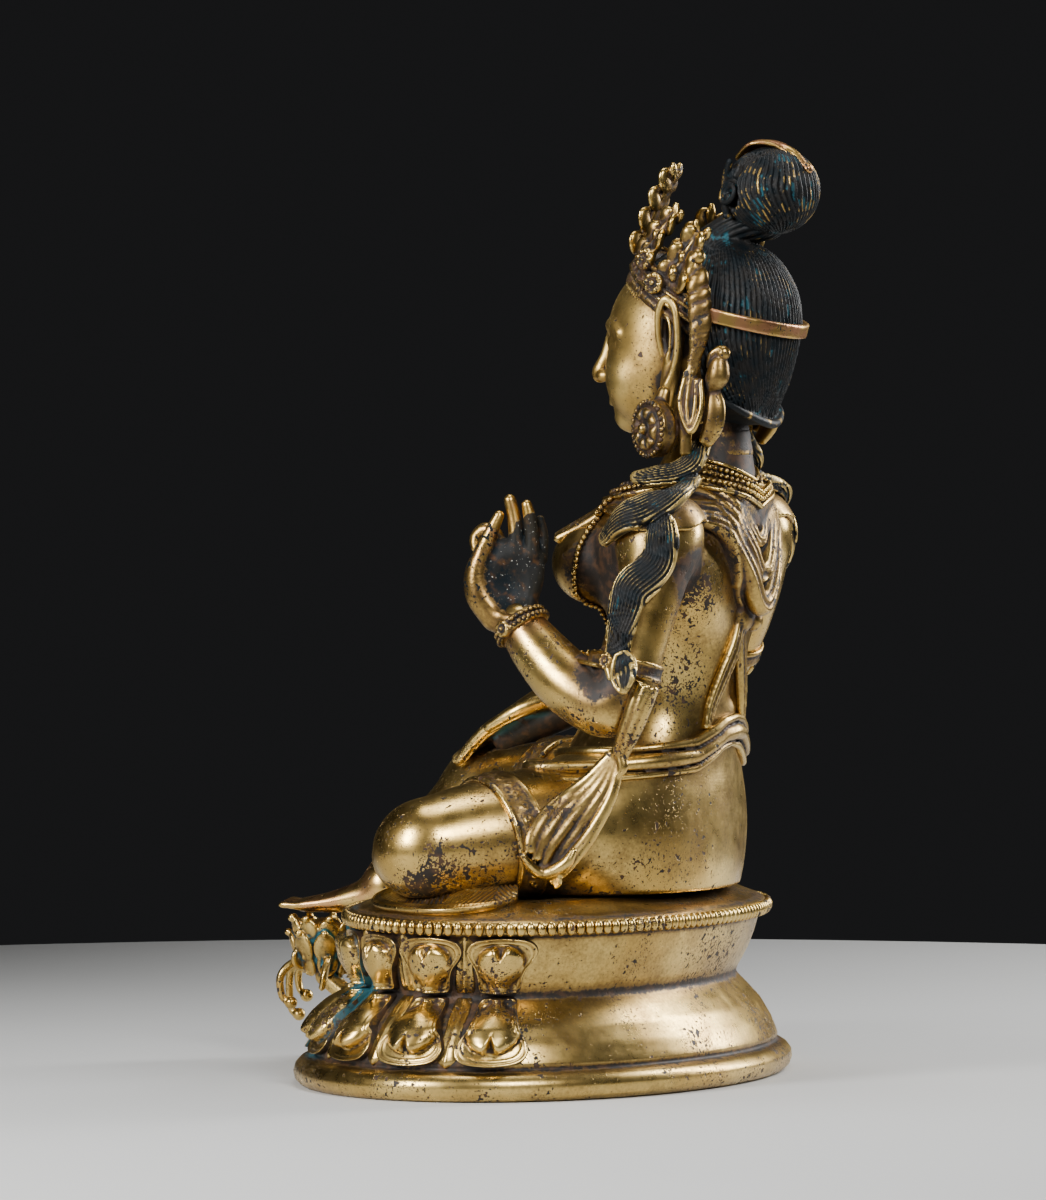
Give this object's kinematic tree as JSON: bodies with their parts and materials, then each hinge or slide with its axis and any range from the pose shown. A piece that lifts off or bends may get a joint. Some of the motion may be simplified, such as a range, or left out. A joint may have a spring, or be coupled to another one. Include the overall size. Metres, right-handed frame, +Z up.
{
  "type": "seated tara figure",
  "caption": "Gilt bronze goddess seated at royal ease with a raised hand, crown, scarves and locks of hair, on an oval lotus base with a small lotus under the hanging foot.",
  "frame": {"origin": "middle of the base's flat underside", "axes": "+Z up, the figure faces -Y, and its left side is +X"},
  "size_m": [0.1534, 0.1383, 0.2104],
  "materials": {
    "gilt_figure": "polished gilding worn to brown bronze in the hollows",
    "gilt_base": "polished gilding, pitted and speckled brown"
  },
  "bodies": {
    "root": {"tara_figure": "gilt_figure", "lotus_base": "gilt_base"}
  },
  "joints": []
}
